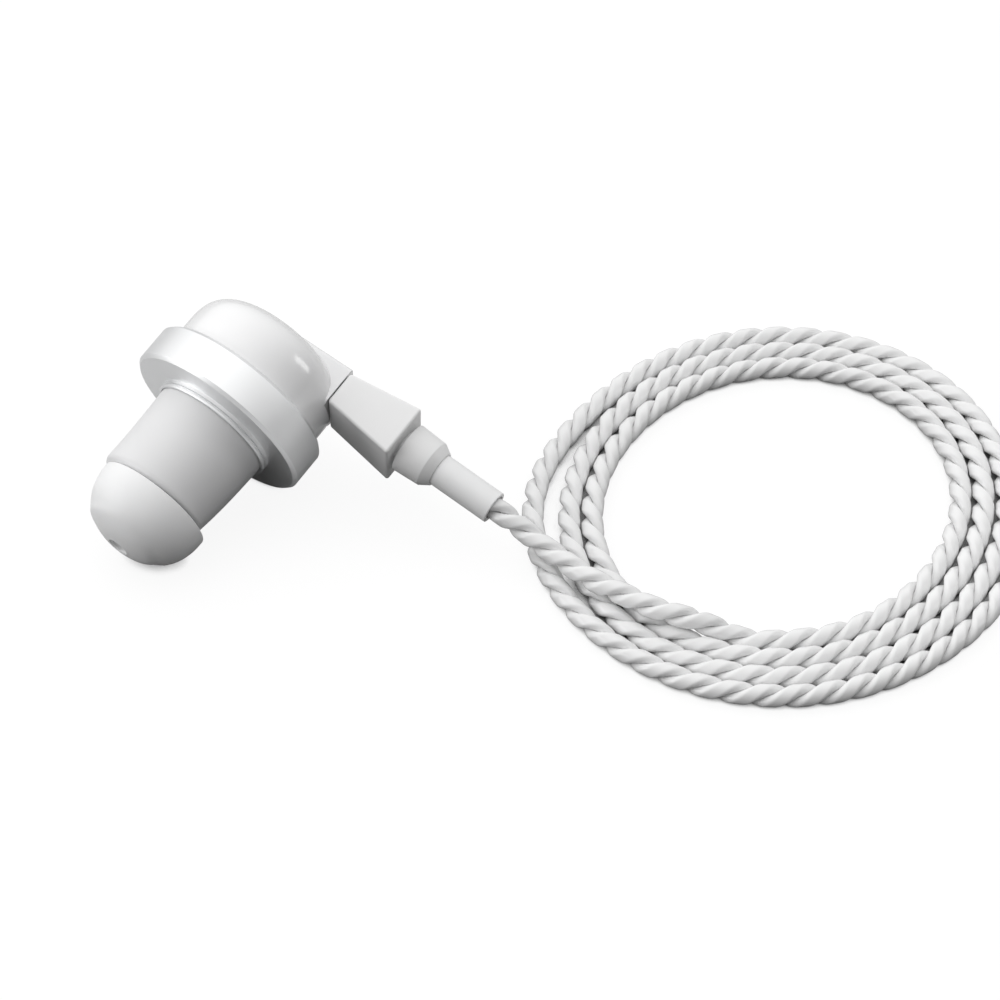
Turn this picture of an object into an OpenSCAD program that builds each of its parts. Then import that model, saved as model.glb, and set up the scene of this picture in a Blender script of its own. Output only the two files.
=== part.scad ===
// Wired in-ear earphones: two earpieces on detachable two-pin leads, a splitter,
// a main lead and a 3.5 mm stereo plug, laid out on a flat surface with the leads coiled.
//
// Each earpiece is modelled about its own axis: +Z leaves through the nozzle, Z = 0 is the
// front face of the metal ring, and +X runs out along the lead's plug. It is then laid down.

/* [Ring] */
// Outside diameter of the metal ring
ring_d = 17.7; // [17.5:0.1:18.5]
// Width of the ring's band
ring_width = 3.5; // [3.3:0.1:3.8]
// Wall of the ring's band
ring_wall = 1.2; // [1:0.1:1.4]
// Thickness of the ring's flat front face
ring_face = 1; // [0.8:0.1:1.2]
// Polished chamfer on both edges of the band
ring_chamfer = 0.25; // [0.1:0.05:0.4]
// Height of the raised lip round the barrel's root
lip_height = 0.8; // [0.6:0.05:1]
// Width of the raised lip
lip_width = 0.2; // [0.15:0.05:0.3]

/* [Barrel and nozzle] */
// Diameter of the barrel where it leaves the ring
barrel_root_d = 11; // [10.8:0.1:11.4]
// Diameter of the barrel at its front shoulder
barrel_end_d = 10.3; // [10:0.1:10.8]
// Length of the barrel from the ring's face to its shoulder
barrel_length = 8.8; // [8:0.05:9.5]
// Wall of the barrel
barrel_wall = 0.9; // [0.7:0.1:1.1]
// Radius of the barrel's front edge
barrel_edge_r = 1.2; // [0.8:0.1:1.4]
// Thickness of the flange that holds the barrel in the ring
flange_thickness = 1.2; // [0.9:0.1:1.4]
// Diameter of the nozzle that carries the ear tip
nozzle_d = 5.2; // [4.8:0.1:5.6]
// Length of the nozzle beyond the barrel's shoulder
nozzle_length = 3.8; // [3.4:0.1:4.2]
// Bore of the nozzle
nozzle_bore_d = 3.6; // [3:0.1:3.8]
// Thickness of the mesh disc in the nozzle's mouth
mesh_thickness = 0.3; // [0.2:0.05:0.4]
// Diameter of the mesh disc
mesh_d = 4.4; // [4.1:0.1:4.6]
// Diameter of the holes in the mesh disc
mesh_hole_d = 0.4; // [0.2:0.05:0.5]

/* [Ear tip] */
// Diameter of the ear tip at its widest
tip_d = 10.8; // [10.6:0.1:11.2]
// Diameter of the ear tip's rim
tip_rim_d = 10.8; // [10.6:0.1:11]
// Length of the ear tip from rim to nose
tip_length = 5.2; // [5:0.1:5.8]
// Length of the straight skirt behind the dome
tip_skirt = 0.3; // [0.2:0.1:0.8]
// Wall of the ear tip's skirt
tip_wall = 0.55; // [0.4:0.05:0.7]
// Wall of the ear tip's inner stem
stem_wall = 0.8; // [0.5:0.05:0.9]
// Diameter of the sound hole in the nose
sound_hole_d = 1.7; // [1.2:0.1:2.4]

/* [Back shell] */
// Diameter of the rounded back shell
shell_d = 15.4; // [15.3:0.1:15.8]
// Depth of the back shell behind the ring
shell_depth = 6.65; // [6.5:0.05:7]
// Depth of the shell's straight side before it rounds over
shell_straight = 1.8; // [1.2:0.1:2.2]
// Wall of the back shell
shell_wall = 1.1; // [0.9:0.1:1.2]
// Reach of the socket boss from the earpiece's axis
boss_reach = 7.25; // [7.1:0.05:7.6]
// Width of the socket boss across the two pins
boss_width = 5.9; // [5.8:0.1:6.4]
// Thickness of the socket boss along the earpiece's axis
boss_thickness = 3.6; // [3.4:0.1:3.8]
// Corner radius of the socket boss
boss_r = 0.5; // [0.2:0.1:0.8]
// Angle by which the socket boss sinks towards the shell's middle
boss_tilt = 2.8; // [2:0.1:4]

/* [Plug and socket] */
// Distance of the pins' plane behind the ring's front face
plug_back = 8.4; // [8.2:0.05:8.6]
// Distance between the centres of the two pins
pin_pitch = 2.6; // [2.4:0.1:2.8]
// Diameter of each pin
pin_d = 0.78; // [0.7:0.02:0.8]
// Length of the pins beyond the plug's face
pin_length = 4; // [3.5:0.1:4.2]
// Radial clearance of a pin in its contact
pin_clearance = 0.06; // [0.03:0.01:0.09]
// Wall of each socket contact
contact_wall = 0.28; // [0.2:0.02:0.3]
// Thickness of the closed rear end of each contact
contact_floor = 0.3; // [0.2:0.05:0.4]
// Width of the socket insert across the two pins
socket_width = 4.9; // [4.6:0.1:5.2]
// Thickness of the socket insert
socket_thickness = 2; // [1.8:0.1:2.1]
// Seam between the plug and the socket boss
plug_seam = 0.1; // [0.05:0.05:0.3]
// Length of the moulded plug
plug_length = 7.05; // [6.5:0.05:7.5]
// Width of the plug at the socket end
plug_front_width = 5.8; // [5.6:0.1:6]
// Thickness of the plug at the socket end
plug_front_thickness = 3.2; // [3:0.05:3.5]
// Width of the plug at the cable end
plug_rear_width = 6.4; // [6.2:0.1:6.8]
// Thickness of the plug at the cable end
plug_rear_thickness = 4.9; // [4.7:0.1:5.2]
// Radius of the plug's moulded edges
plug_edge_r = 0.45; // [0.2:0.05:0.6]
// Diameter of the collar where it leaves the plug
collar_root_d = 4.7; // [4.5:0.1:4.9]
// Diameter of the collar at the start of its bevel
collar_d = 4.4; // [4.2:0.1:4.6]
// Length of the collar up to its bevel
collar_length = 3.15; // [2.8:0.05:3.6]
// Length of the collar's bevel
collar_bevel = 0.9; // [0.6:0.1:1.2]
// Diameter of the collar at the end of its bevel
collar_end_d = 3.3; // [3.2:0.1:3.6]
// Outside diameter of the strain-relief sleeve
sleeve_d = 3; // [2.8:0.05:3.1]
// Wall of the sleeve
sleeve_wall = 0.3; // [0.2:0.05:0.35]
// Length of the sleeve beyond the collar
sleeve_length = 5.95; // [5.5:0.05:6.5]
// Depth of the sleeve inside the collar
sleeve_seat = 1.5; // [1:0.1:2.5]

/* [Driver] */
// Diameter of the driver
driver_d = 10; // [9.6:0.1:10.2]
// Depth of the driver's basket
driver_depth = 4.1; // [3.8:0.1:4.3]
// Outside diameter of the magnet yoke
yoke_d = 7.8; // [7.4:0.1:8]
// Thickness of the yoke's wall and floor
yoke_wall = 0.65; // [0.5:0.05:0.7]
// Diameter of the magnet
magnet_d = 4.6; // [4:0.1:4.8]
// Thickness of the magnet
magnet_thickness = 1.3; // [1:0.1:1.4]
// Thickness of the pole plate on the magnet
pole_thickness = 0.6; // [0.4:0.1:0.7]
// Mean diameter of the voice coil
voice_coil_d = 5.8; // [5.6:0.05:5.9]
// Thickness of the voice coil's wall
voice_coil_wall = 0.3; // [0.2:0.05:0.35]
// Thickness of the diaphragm
diaphragm_thickness = 0.15; // [0.1:0.05:0.2]
// Thickness of the terminal board on the yoke
board_thickness = 0.5; // [0.4:0.05:0.6]
// Width of the terminal board across its two pads
board_width = 4; // [3.6:0.1:4.6]
// Length of the terminal board
board_length = 3; // [2.6:0.1:3.4]
// Diameter of each wire from the socket to the board
wire_d = 0.36; // [0.3:0.02:0.4]

/* [Layout] */
// Distance of each earpiece from the middle of the set
ear_x = 87.12; // [86:0.02:88]
// Distance of the earpieces behind the middle of the set
ear_y = 0.52; // [0:0.02:1]
// Heading of the nozzle away from straight ahead
ear_heading = 38.6; // [38:0.1:39.2]
// Angle by which the nozzle dips towards the surface
nose_down = 17.7; // [17.2:0.1:17.8]
// Roll of the earpiece that lowers its plug
ear_roll = 15.3; // [15:0.1:16]

/* [Leads] */
// Diameter of the tube along each ear lead
ear_cord_d = 1.6; // [1.3:0.05:1.65]
// Height of an ear lead's centre above the surface
ear_cord_z = 1; // [0.9:0.05:1.05]
// Diameter of the tube along the main lead
main_cord_d = 1.95; // [1.6:0.05:2]
// Height of the main lead's centre above the surface
main_cord_z = 1.15; // [1.1:0.05:1.2]

/* [Left coil] */
// Turns of the left coil
left_turns = 3.2; // [3.1:0.01:3.3]
// Mean radius of its first turn's start
left_r = 15.9; // [15.6:0.01:16.2]
// Distance from one turn to the next
left_pitch = 2.07; // [2.05:0.01:2.2]
// Amount by which the coil is oval
left_oval = 1; // [0:0.1:1.2]
// Direction of the coil's long axis
left_oval_heading = 61; // [40:1:80]
// Amount by which its outermost turn stands off at the left
left_bulge = 1.2; // [0:0.1:1.6]

/* [Right coil] */
// Turns of the right coil, in two layers
right_turns = 5; // [4:1:5]
// Radius of the right coil's inmost turn
right_r = 8.2; // [7.8:0.1:8.4]
// Distance between its turns and between its layers
right_pitch = 2.05; // [2.02:0.01:2.1]

/* [Main coil] */
// Turns of the main coil, in two layers
main_turns = 8; // [7:1:8]
// Radius of the main coil's inmost turn
main_r = 8.9; // [8.6:0.1:9]
// Distance between its turns and between its layers
main_pitch = 2.4; // [2.37:0.01:2.42]

/* [Splitter] */
// Diameter of the splitter's barrel
splitter_d = 4.6; // [4.4:0.1:4.8]
// Length of the splitter
splitter_length = 12; // [11:0.5:13]
// Radius of the splitter's ends
splitter_end_r = 0.8; // [0.4:0.1:1.2]

/* [Jack plug] */
// Diameter of the plug's handle
jack_handle_d = 6; // [5.5:0.1:6.4]
// Length of the plug's handle
jack_handle_length = 17; // [15:0.5:19]
// Diameter of the contacts
jack_pin_d = 3.5; // [3.5:0.1:3.5]
// Length of the contacts beyond the handle
jack_pin_length = 14; // [14:0.5:14]
// Length of the strain relief behind the handle
relief_length = 8; // [7:0.5:9]
// Diameter of the strain relief at the handle
relief_d = 4.4; // [4:0.1:5]
// Diameter of the strain relief at the cable
relief_end_d = 3; // [2.8:0.1:3.4]

/* [Hidden] */
PER_EAR = ["back_shell", "socket_insert", "socket_contacts", "ring", "front_barrel",
    "nozzle_mesh", "driver_basket", "diaphragm", "voice_coil", "magnet", "magnet_yoke",
    "terminal_board", "driver_wires", "ear_tip", "plug_body", "plug_pins", "plug_collar", "plug_sleeve",
    "ear_lead", "lead_coil", "lead_tail"];
COMMON = ["splitter", "main_lead", "main_coil", "main_tail", "jack_relief", "jack_handle",
    "jack_sleeve", "jack_ring", "jack_tip", "jack_insulators"];
SIDES = ["left", "right"];

$fn = 64;
plastic_white = "white";
silicone_white = "whitesmoke";
cord_grey = "gainsboro";
slip = 0.05;
joint_gap = 0.3;
round_steps = 12;

ring_r = ring_d / 2;
ring_bore_r = ring_r - ring_wall;
barrel_root_r = barrel_root_d / 2;
barrel_end_r = barrel_end_d / 2;
nozzle_r = nozzle_d / 2;
nozzle_end = barrel_length + nozzle_length;
flange_r = ring_bore_r - slip;
flange_back = ring_face + flange_thickness;
driver_r = driver_d / 2;
driver_back = flange_back + driver_depth;
driver_ledge = flange_back + 1;
board_back = driver_back + board_thickness;
driver_seat_wall = 0.6;
driver_seat_depth = 1;
yoke_r = yoke_d / 2;
yoke_front = driver_back - 2.6;
shell_r = shell_d / 2;
shell_back = ring_width + shell_depth;
boss_back = plug_back + boss_thickness / 2;
tip_rim = barrel_length + joint_gap;
tip_front = tip_rim + tip_length;
contact_r = pin_d / 2 + pin_clearance;
contact_outer_r = contact_r + contact_wall;
pin_end_gap = 0.1;
socket_depth = pin_length - plug_seam + contact_floor + pin_end_gap;
socket_back = boss_reach - socket_depth;
plug_front = boss_reach + plug_seam;
plug_rear = plug_front + plug_length;
collar_end = plug_rear + collar_length + collar_bevel;
sleeve_start = collar_end - sleeve_seat;
sleeve_end = collar_end + sleeve_length;
sleeve_bore_r = sleeve_d / 2 - sleeve_wall;

// The ring's front edge rests on the surface
ear_z = ring_r * cos(nose_down) - ring_chamfer * sin(nose_down);

// ---------- Placing an earpiece ----------

function turn_x(p, a) = [p.x, p.y * cos(a) - p.z * sin(a), p.y * sin(a) + p.z * cos(a)];
function turn_z(p, a) = [p.x * cos(a) - p.y * sin(a), p.x * sin(a) + p.y * cos(a), p.z];

// Where a point of the left earpiece's own frame lies in the set
function ear_point(p) =
    [-ear_x, ear_y, ear_z] + turn_z(turn_x(turn_z(p, -ear_roll), 90 + nose_down), -ear_heading);

module on_left_ear() {
    translate([-ear_x, ear_y, ear_z])
        rotate([0, 0, -ear_heading]) rotate([90 + nose_down, 0, 0]) rotate([0, 0, -ear_roll])
            children();
}

module on_ear(side) {
    if (side == "left") on_left_ear() children();
    else mirror([1, 0, 0]) on_left_ear() children();
}

// Children drawn round +Z are laid along +X, level with the pins
module along_plug() {
    translate([0, 0, -plug_back]) rotate([0, 90, 0]) children();
}

// ---------- Outlines ----------

// A quarter of a squared-off ellipse from [r, 0] to [0, h]
function round_quarter(r, h, power) =
    [for (i = [0:round_steps]) let (a = 90 * i / round_steps)
        [r * pow(cos(a), 2 / power), h * pow(sin(a), 2 / power)]];

// The part of such a quarter that lies beyond a given radius
function round_part(r, h, power, r_min) =
    let (a_end = acos(pow(r_min / r, power / 2)))
    [for (i = [0:round_steps]) let (a = a_end * i / round_steps)
        [r * pow(cos(a), 2 / power), h * pow(sin(a), 2 / power)]];

function lift(points, z) = [for (p = points) [p.x, p.y + z]];
function flip(points) = [for (p = points) [p.x, -p.y]];
function backwards(points) = [for (i = [len(points) - 1:-1:0]) points[i]];

module rounded_rectangle(w, h, r) {
    square([w - 2 * r, h], center = true);
    square([w, h - 2 * r], center = true);
    for (x = [-1, 1], y = [-1, 1])
        translate([x * (w / 2 - r), y * (h / 2 - r)]) circle(r, $fn = 24);
}

// ---------- Metal ring ----------

module ring() {
    lip_r = barrel_root_r + slip + lip_width;
    lip_edge = lip_width / 3;
    color("silver") rotate_extrude($fn = 96) polygon([
        [barrel_root_r + slip, -ring_face],
        [barrel_root_r + slip, lip_height],
        [lip_r - lip_edge, lip_height],
        [lip_r, lip_height - lip_edge],
        [lip_r, 0],
        [ring_r - ring_chamfer, 0],
        [ring_r, -ring_chamfer],
        [ring_r, ring_chamfer - ring_width],
        [ring_r - ring_chamfer, -ring_width],
        [ring_bore_r, -ring_width],
        [ring_bore_r, -ring_face]]);
}

// ---------- Front barrel with nozzle ----------

function barrel_r(z) = barrel_root_r - (barrel_root_r - barrel_end_r) * pow(z / barrel_length, 1.3);

module front_barrel() {
    taper_steps = 8;
    taper_end = barrel_length - barrel_edge_r;
    taper = [for (i = [0:taper_steps]) let (z = taper_end * i / taper_steps) [barrel_r(z), z]];
    edge = [for (i = [1:6]) let (a = 90 * i / 6)
        [barrel_r(taper_end) - barrel_edge_r * (1 - cos(a)), taper_end + barrel_edge_r * sin(a)]];
    nozzle_chamfer = 0.25;
    throat = barrel_length - 1.4;
    color(plastic_white) rotate_extrude($fn = 96) polygon(concat(
        [[barrel_root_r, -ring_face]], taper, edge,
        [[nozzle_r, barrel_length],
         [nozzle_r, nozzle_end - nozzle_chamfer],
         [nozzle_r - nozzle_chamfer, nozzle_end],
         [mesh_d / 2, nozzle_end],
         [mesh_d / 2, nozzle_end - mesh_thickness],
         [nozzle_bore_d / 2, nozzle_end - mesh_thickness],
         [nozzle_bore_d / 2, throat],
         [barrel_end_r - barrel_wall, throat - 2.4],
         [barrel_root_r - barrel_wall - 0.4, -ring_face],
         [driver_r - 0.65, -flange_back],
         [driver_r + slip, -flange_back],
         [driver_r + slip, -flange_back - driver_seat_depth],
         [driver_r + driver_seat_wall, -flange_back - driver_seat_depth],
         [driver_r + driver_seat_wall, -flange_back],
         [flange_r, -flange_back],
         [flange_r, -ring_face]]));
}

module nozzle_mesh() {
    hole_spacing = 0.75;
    color("dimgray") translate([0, 0, nozzle_end - mesh_thickness]) difference() {
        cylinder(h = mesh_thickness, d = mesh_d);
        translate([0, 0, -1]) {
            cylinder(h = mesh_thickness + 2, d = mesh_hole_d, $fn = 16);
            for (row = [1:2], i = [0:6 * row - 1])
                rotate([0, 0, 60 * i / row]) translate([hole_spacing * row, 0, 0])
                    cylinder(h = mesh_thickness + 2, d = mesh_hole_d, $fn = 16);
        }
    }
}

// ---------- Silicone ear tip ----------

module ear_tip() {
    power = 2.3;
    tip_r = tip_d / 2;
    rim_r = tip_rim_d / 2;
    hole_r = sound_hole_d / 2;
    stem_r = nozzle_r + slip;
    stem_outer_r = stem_r + stem_wall;
    dome_start = tip_rim + tip_skirt;
    dome = tip_length - tip_skirt;
    rim_edge = 0.15;
    hole_edge = 0.2;
    nose_back = nozzle_end + 0.15;
    color(silicone_white) rotate_extrude($fn = 96) polygon(concat(
        [[rim_r - tip_wall, tip_rim], [rim_r - rim_edge, tip_rim], [rim_r, tip_rim + rim_edge]],
        lift(round_part(tip_r, dome, power, hole_r + hole_edge), dome_start),
        [[hole_r, tip_front - hole_edge],
         [hole_r, nose_back],
         [stem_r, nose_back],
         [stem_r, tip_rim + slip],
         [stem_outer_r, tip_rim + slip]],
        backwards(lift(round_part(tip_r - tip_wall, dome - tip_wall, power, stem_outer_r),
            dome_start))));
}

// ---------- Back shell with its socket boss ----------

module shell_outside() {
    rotate_extrude($fn = 96) polygon(concat(
        [[0, -flange_back - slip],
         [flange_r, -flange_back - slip],
         [flange_r, -ring_width],
         [shell_r, -ring_width]],
        lift(flip(round_quarter(shell_r, shell_depth - shell_straight, 3.2)),
            -ring_width - shell_straight)));
}

module shell_inside() {
    rotate_extrude($fn = 96) polygon(concat(
        [[0, 0], [shell_r - shell_wall, 0]],
        lift(flip(round_quarter(shell_r - shell_wall, shell_depth - shell_straight - shell_wall, 3.2)),
            -ring_width - shell_straight)));
}

// The boss sinks into the shell towards its middle
module boss() {
    translate([boss_reach, 0, -plug_back]) rotate([0, 90 + boss_tilt, 0])
        translate([0, 0, -boss_reach]) linear_extrude(boss_reach + 1)
            rounded_rectangle(boss_thickness, boss_width, boss_r);
}

// The flat face that the plug meets, cut across the boss and the shell beside it
module plug_face() {
    translate([boss_reach, -boss_width / 2 - 1, -boss_back - 1])
        cube([2, boss_width + 2, boss_thickness + 1 + slip]);
}

module back_shell() {
    color(plastic_white) difference() {
        union() {
            shell_outside();
            boss();
        }
        plug_face();
        shell_inside();
        along_plug() translate([0, 0, socket_back]) linear_extrude(socket_depth + 1)
            square([socket_thickness + 2 * slip, socket_width + 2 * slip], center = true);
    }
}

module at_pins() {
    for (y = [-1, 1]) along_plug() translate([0, y * pin_pitch / 2, 0]) children();
}

module socket_insert() {
    color("gray") difference() {
        along_plug() translate([0, 0, socket_back])
            linear_extrude(socket_depth) square([socket_thickness, socket_width], center = true);
        at_pins() translate([0, 0, socket_back - 1])
            cylinder(h = socket_depth + 2, r = contact_outer_r + slip / 2, $fn = 48);
    }
}

module socket_contacts() {
    color("gold") at_pins() translate([0, 0, socket_back]) difference() {
        cylinder(h = socket_depth - slip, r = contact_outer_r, $fn = 48);
        translate([0, 0, contact_floor]) cylinder(h = socket_depth, r = contact_r, $fn = 48);
    }
}

// ---------- Driver ----------

module driver_basket() {
    rim = 0.65;
    color("darkgray") rotate_extrude($fn = 64) polygon([
        [driver_r - rim, -flange_back],
        [driver_r, -flange_back],
        [driver_r, -driver_ledge - 0.1],
        [yoke_r + 0.5, -yoke_front - 0.2],
        [yoke_r + 0.5, -driver_back],
        [yoke_r + slip / 2, -driver_back],
        [yoke_r + slip / 2, -yoke_front],
        [driver_r - rim - 0.35, -driver_ledge],
        [driver_r - rim, -driver_ledge]]);
}

module magnet_yoke() {
    color("slategray") translate([0, 0, -driver_back]) difference() {
        cylinder(h = driver_back - yoke_front, r = yoke_r);
        translate([0, 0, yoke_wall]) cylinder(h = driver_depth, r = yoke_r - yoke_wall);
    }
}

module magnet() {
    pole_overhang = 0.15;
    color("silver") translate([0, 0, -driver_back + yoke_wall]) {
        cylinder(h = magnet_thickness, d = magnet_d);
        translate([0, 0, magnet_thickness])
            cylinder(h = pole_thickness, r = magnet_d / 2 + pole_overhang);
    }
}

module voice_coil() {
    coil_top = -driver_ledge;
    coil_height = 1.5;
    color("peru") translate([0, 0, coil_top - coil_height]) difference() {
        cylinder(h = coil_height, d = voice_coil_d + voice_coil_wall);
        translate([0, 0, -1]) cylinder(h = coil_height + 2, d = voice_coil_d - voice_coil_wall);
    }
}

// Height of the diaphragm's face: a dome inside the voice coil and a half-roll round it
function diaphragm_rise(r) = let (coil_r = voice_coil_d / 2 + 0.1, edge = driver_r - 0.75)
    r < coil_r ? 0.5 * cos(90 * r / coil_r) : r < edge ? 0.3 * sin(180 * (r - coil_r) / (edge - coil_r)) : 0;

module diaphragm() {
    outer_r = driver_r - 0.68;
    steps = 24;
    face = [for (i = [0:steps]) let (r = outer_r * i / steps) [r, diaphragm_rise(r) - driver_ledge]];
    color("lightsteelblue") rotate_extrude($fn = 64)
        polygon(concat(lift(face, diaphragm_thickness), backwards(face)));
}

module terminal_board() {
    color("darkgreen") translate([-board_length / 2, -board_width / 2, -board_back])
        cube([board_length, board_width, board_thickness]);
}

// Each wire runs straight back from its contact and turns forward to the board
module driver_wires() {
    bend_r = 1;
    straight = 0.7;
    run = plug_back - board_back - bend_r;
    color("firebrick") for (y = [-1, 1])
        translate([socket_back - straight, y * pin_pitch / 2, bend_r - plug_back]) {
            translate([0, 0, -bend_r]) rotate([0, 90, 0]) cylinder(h = straight, d = wire_d, $fn = 24);
            rotate([90, 0, 0]) rotate([0, 0, 180]) rotate_extrude(angle = 90, $fn = 48)
                translate([bend_r, 0]) circle(d = wire_d, $fn = 24);
            translate([-bend_r, 0, 0]) cylinder(h = run, d = wire_d, $fn = 24);
        }
}

// ---------- Lead plug ----------

// The four rounded corners at one end of the moulded plug
module plug_corners(z, width, thickness) {
    for (x = [-1, 1], y = [-1, 1])
        translate([x * (thickness / 2 - plug_edge_r), y * (width / 2 - plug_edge_r), z])
            sphere(plug_edge_r, $fn = 24);
}

module plug_body() {
    color(plastic_white) difference() {
        along_plug() hull() {
            plug_corners(plug_front + plug_edge_r, plug_front_width, plug_front_thickness);
            plug_corners(plug_rear - plug_edge_r, plug_rear_width, plug_rear_thickness);
        }
        at_pins() cylinder(h = plug_front + 2.5 + slip, r = pin_d / 2 + slip / 2, $fn = 48);
    }
}

module plug_pins() {
    tail = 2.5;
    point = 0.2;
    color("gold") at_pins() translate([0, 0, plug_front - pin_length]) rotate_extrude($fn = 48)
        polygon([
            [0, 0], [pin_d / 2 - point, 0], [pin_d / 2, point],
            [pin_d / 2, pin_length + tail], [0, pin_length + tail]]);
}

module plug_collar() {
    color(plastic_white) along_plug() translate([0, 0, plug_rear]) difference() {
        rotate_extrude() polygon([
            [0, 0],
            [collar_root_d / 2, 0],
            [collar_d / 2, collar_length],
            [collar_end_d / 2, collar_length + collar_bevel],
            [0, collar_length + collar_bevel]]);
        translate([0, 0, sleeve_start - plug_rear]) cylinder(h = sleeve_seat + 1, d = sleeve_d);
    }
}

module plug_sleeve() {
    color(silicone_white) along_plug() translate([0, 0, sleeve_start]) difference() {
        cylinder(h = sleeve_end - sleeve_start, d = sleeve_d);
        translate([0, 0, -1]) cylinder(h = sleeve_end - sleeve_start + 2, r = sleeve_bore_r);
    }
}

// ---------- Cords ----------

function unit(v) = v / norm(v);

// The direction of a path at each of its points
function headings(path) = let (last = len(path) - 1)
    [for (i = [0:last]) unit(path[min(i + 1, last)] - path[max(i - 1, 0)])];

// One unbroken tube swept along a path that never stands upright
module swept_tube(path, d, sides) {
    heading = headings(path);
    last = len(path) - 1;
    points = [for (i = [0:last]) let (
            across = unit(cross([0, 0, 1], heading[i])), up = cross(heading[i], across))
        for (k = [0:sides - 1]) let (a = 360 * (k + 0.5) / sides)
            path[i] + d / 2 * (cos(a) * across + sin(a) * up)];
    caps = concat(
        [for (k = [1:sides - 2]) [0, k, k + 1]],
        [for (k = [1:sides - 2]) let (s = last * sides) [s, s + k + 1, s + k]]);
    walls = [for (i = [0:last - 1], k = [0:sides - 1])
        let (a = i * sides + k, b = i * sides + (k + 1) % sides)
        each [[a, a + sides, b], [b, a + sides, b + sides]]];
    polyhedron(points, concat(caps, walls));
}

module cord(path, d) {
    color(cord_grey) swept_tube(path, d, 8);
}

coil_rings = 24;

function first(points) = points[0];
function last_of(points) = points[len(points) - 1];

// The points one diameter short of a coil's start and one past its end, straight along it
function before(points, d) = points[0] + d * unit(points[0] - points[1]);
function beyond(points, d) = last_of(points) + d * unit(last_of(points) - points[len(points) - 2]);

// A coil's points, with a straight run of one diameter at each end
function with_ends(points, d) = concat([before(points, d)], points, [beyond(points, d)]);

// How far through a two-layer coil a turn lies: 0 on the lower layer, 1 on the upper one
function climb(t, middle) = let (s = min(max((t - middle) * 2 + 0.5, 0), 1)) s * s * (3 - 2 * s);

// A coil in two layers that spirals in, climbs in the half turn at its middle and spirals out
function two_layer_coil(x, y, z_start, z_end, start, turns, r_in, pitch, side) =
    let (steps = round(turns * coil_rings))
    [for (i = [0:steps]) let (
            t = turns * i / steps,
            a = start + side * 360 * t,
            r = r_in + pitch * abs(t - turns / 2))
        [x + r * cos(a), y + r * sin(a), z_start + (z_end - z_start) * climb(t, turns / 2)]];

// The least distance from a coil's surface to its own next turns
function coil_gap(points, d) =
    min([for (i = [0:len(points) - 1])
        for (j = [i + coil_rings / 2:1:len(points) - 1]) norm(points[i] - points[j])]) - d;

left_centre = [-36.7, -2.15];
left_start = 265;
bulge_turn = 2.77;
bulge_width = 0.08;
left_coil = let (steps = round(left_turns * coil_rings))
    [for (i = [0:steps]) let (
            t = left_turns * i / steps,
            a = left_start + 360 * t,
            r = left_r + left_pitch * t + left_oval * cos(2 * (a - left_oval_heading))
                + left_bulge * exp(-pow((t - bulge_turn) / bulge_width, 2)))
        [left_centre.x + r * cos(a), left_centre.y + r * sin(a), ear_cord_z]];
left_coil_path = with_ends(left_coil, ear_cord_d);

right_centre = [47, 1.3];
right_start = 270;
right_coil_path = with_ends(two_layer_coil(right_centre.x, right_centre.y,
    ear_cord_z + right_pitch, ear_cord_z, right_start, right_turns, right_r, right_pitch, -1),
    ear_cord_d);

main_centre = [11.5, -1];
main_start = 85;
main_coil_path = with_ends(two_layer_coil(main_centre.x, main_centre.y,
    main_cord_z, main_cord_z + main_pitch, main_start, main_turns, main_r, main_pitch, -1),
    main_cord_d);

echo(left_coil_gap = coil_gap(left_coil_path, ear_cord_d));
echo(right_coil_gap = coil_gap(right_coil_path, ear_cord_d));
echo(main_coil_gap = coil_gap(main_coil_path, main_cord_d));

// A free stretch meets the next piece squarely over this length
square_run = 0.6;

// Each cord leaves straight out of its sleeve
sleeve_exit = [ear_point([sleeve_start, 0, -plug_back]), ear_point([sleeve_end + 1, 0, -plug_back])];
function mirrored(points) = [for (p = points) [-p.x, p.y, p.z]];

splitter_x = -12.5;
splitter_y = -1;
splitter_z = splitter_d / 2;
splitter_top = splitter_y + splitter_length;
jack_x = 24;
jack_y = 19.2;
jack_z = jack_handle_d / 2;

// A cord's last two points where it enters the splitter, or its first two where it leaves
function into_splitter(x) = [[x, splitter_y - square_run, splitter_z], [x, splitter_y, splitter_z]];
function out_of_splitter() =
    [[splitter_x, splitter_top, splitter_z], [splitter_x, splitter_top + square_run, splitter_z]];

// The left lead rides over the three turns at its coil's left side and slides down inside them
left_lead_path = concat(sleeve_exit,
    [[-60, -7.95, 3.75], [-58.8, -9, 3.38], [-57.4, -10.2, 3.1],
     [-55.7, -11.7, 2.95], [-53.6, -13.5, 2.95], [-51.3, -15, 2.95], [-49.2, -16.3, 2.95],
     [-47.1, -17.2, 2.9], [-44.9, -17.6, 2.4], [-42.7, -18, 1.5]],
    [before(left_coil_path, square_run), first(left_coil_path)]);
left_tail_path = concat([last_of(left_coil_path), beyond(left_coil_path, square_run)],
    [[-14.5, -5.4, 1.4]],
    into_splitter(-13.6));

// The right lead comes down onto its coil, and its tail runs round in front of the main coil
right_lead_path = concat(mirrored(sleeve_exit),
    [[57.5, -9.3, 3.6], [53.5, -11.1, 3.2]],
    [before(right_coil_path, square_run), first(right_coil_path)]);
right_tail_path = concat([last_of(right_coil_path), beyond(right_coil_path, square_run)],
    [[40, -13.1, 1], [36.5, -14.6, 1], [32, -17.5, 1], [27.5, -20.5, 1], [22.5, -22.5, 1],
     [17, -23.5, 1], [11.5, -23.8, 1], [6, -23.3, 1], [1, -21.8, 1], [-3.5, -19.3, 1],
     [-7.2, -15.8, 1], [-9.7, -11.5, 1], [-11, -7.5, 1], [-11.4, -4.6, 1.7]],
    into_splitter(-11.4));

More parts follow.
